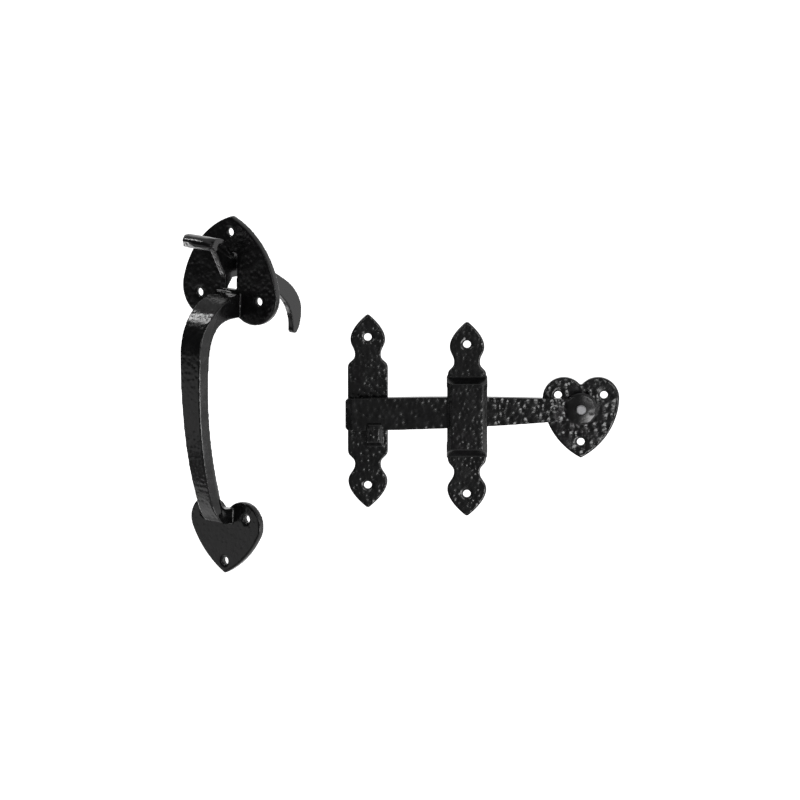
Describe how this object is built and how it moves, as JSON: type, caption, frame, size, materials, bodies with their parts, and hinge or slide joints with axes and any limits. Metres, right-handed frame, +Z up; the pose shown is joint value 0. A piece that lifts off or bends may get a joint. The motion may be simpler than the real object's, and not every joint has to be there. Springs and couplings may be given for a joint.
{
  "type": "suffolk latch",
  "caption": "Suffolk latch in black cast iron: a bowed pull on heart-shaped plates with a thumb lever, and a pivoted latch bar with its keeper and hooked catch.",
  "frame": {"origin": "axis of the latch bar's rivet, at the back face of its plate", "axes": "+Z up, +Y into the door that the bar group's plates lie on, +X from the bar's free end towards its pivot"},
  "size_m": [0.2767, 0.0922, 0.23],
  "materials": {
    "cast_iron": "hammered casting under gloss black enamel",
    "rivet_iron": "plain steel, blackened"
  },
  "bodies": {
    "fixed_set": {"handle": "cast_iron", "lever_pin": "rivet_iron", "pivot_plate": "cast_iron", "bar_rivet": "rivet_iron", "keeper": "cast_iron", "catch": "cast_iron"},
    "latch_bar": {"latch_bar": "cast_iron"},
    "thumb_lever": {"thumb_lever": "cast_iron"}
  },
  "joints": [
    {"name": "bar_lift", "type": "hinge", "parent": "fixed_set", "child": "latch_bar", "pos_m": [0, -0.0068, 0], "axis": [0, 1, 0], "range_deg": [0, 4]},
    {"name": "lever_press", "type": "hinge", "parent": "fixed_set", "child": "thumb_lever", "pos_m": [-0.21643, 0.00183, 0.09157], "axis": [0.7877, -0.6155, -0.0262], "range_deg": [0, 11.8]}
  ]
}
